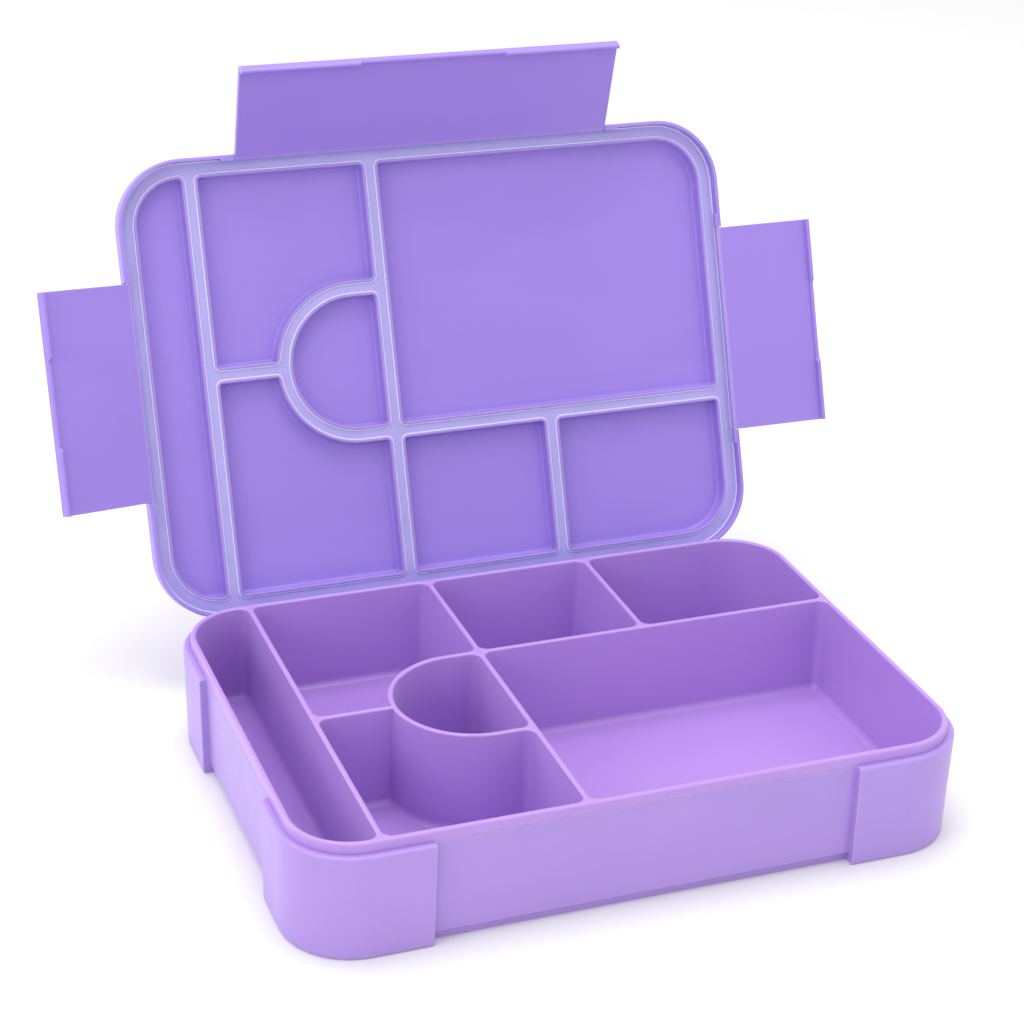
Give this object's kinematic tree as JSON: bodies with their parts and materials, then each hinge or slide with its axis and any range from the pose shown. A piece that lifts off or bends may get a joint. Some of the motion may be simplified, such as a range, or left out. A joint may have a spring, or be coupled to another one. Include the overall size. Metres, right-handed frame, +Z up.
{
  "type": "bento lunch box",
  "caption": "Shallow rectangular lunch box with a divided lift-out tray and a rear-hinged lid that seals with a rubber ring and fold-down latches.",
  "frame": {"origin": "centre of the underside, on the table", "axes": "+Z up, +X to the right and +Y from the front latch towards the rear hinge, seen from the front"},
  "size_m": [0.3604, 0.2896, 0.2624],
  "materials": {
    "shell_plastic": "satin lilac polypropylene",
    "tray_plastic": "satin lilac polypropylene",
    "lid_plastic": "satin violet polypropylene, finely grained inside",
    "latch_plastic": "satin violet polypropylene",
    "seal_silicone": "soft translucent silicone, tinted by the lid behind it",
    "pin_steel": "drawn stainless wire"
  },
  "bodies": {
    "base": {"outer_shell": "shell_plastic", "left_hinge_pin": "pin_steel", "right_hinge_pin": "pin_steel"},
    "tray": {"compartment_tray": "tray_plastic"},
    "lid": {"lid": "lid_plastic", "lid_seal": "seal_silicone", "front_latch_pin": "pin_steel", "left_latch_pin": "pin_steel", "right_latch_pin": "pin_steel"},
    "front_latch": {"front_latch": "latch_plastic"},
    "left_latch": {"left_latch": "latch_plastic"},
    "right_latch": {"right_latch": "latch_plastic"}
  },
  "joints": [
    {"name": "tray_seat", "type": "slide", "parent": "base", "child": "tray", "axis": [0, 0, -1], "range_m": [-0.06, 0]},
    {"name": "lid_hinge", "type": "hinge", "parent": "base", "child": "lid", "pos_m": [0, 0.1021, 0.0361], "axis": [1, 0, 0], "range_deg": [0, 110.5]},
    {"name": "front_latch_hinge", "type": "hinge", "parent": "lid", "child": "front_latch", "pos_m": [0, 0.18163, 0.21983], "axis": [1, 0, 0], "range_deg": [-50, 55]},
    {"name": "left_latch_hinge", "type": "hinge", "parent": "lid", "child": "left_latch", "pos_m": [-0.13785, 0.14789, 0.12958], "axis": [0, 0.3502, 0.9367], "range_deg": [-37, 68]},
    {"name": "right_latch_hinge", "type": "hinge", "parent": "lid", "child": "right_latch", "pos_m": [0.13785, 0.14789, 0.12958], "axis": [0, -0.3502, -0.9367], "range_deg": [-19, 86]}
  ]
}
